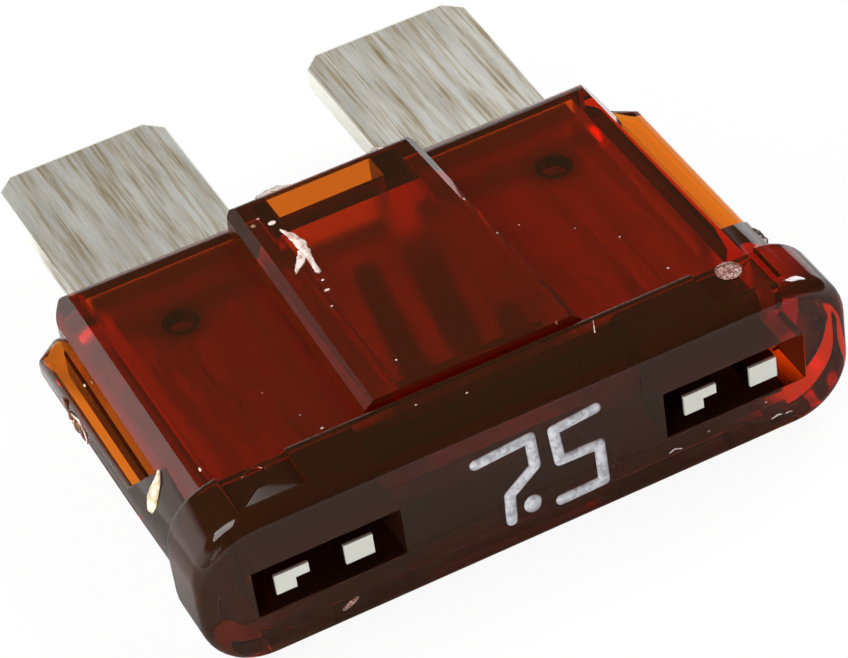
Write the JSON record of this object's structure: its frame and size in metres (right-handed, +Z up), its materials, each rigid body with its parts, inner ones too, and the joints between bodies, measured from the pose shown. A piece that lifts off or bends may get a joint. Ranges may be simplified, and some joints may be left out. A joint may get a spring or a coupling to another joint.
{
  "type": "automotive blade fuse",
  "caption": "Flat translucent plug-in fuse: a moulded body with a rounded head and test slots holds two flat metal blades, joined inside by a thin link.",
  "frame": {"origin": "under the middle of the outline, on the plane that the fuse lies on", "axes": "+X across the width, +Y from the head's face to the blade tips, +Z up through the thickness"},
  "size_m": [0.019, 0.0192, 0.0051],
  "materials": {
    "housing_plastic": "glossy translucent brown",
    "blade_metal": "matt tin plate with streaks along the blades",
    "rating_print": "pale silver-white foil on the raised rating number"
  },
  "bodies": {
    "root": {"housing": "housing_plastic", "fuse_element": "blade_metal"}
  },
  "joints": []
}
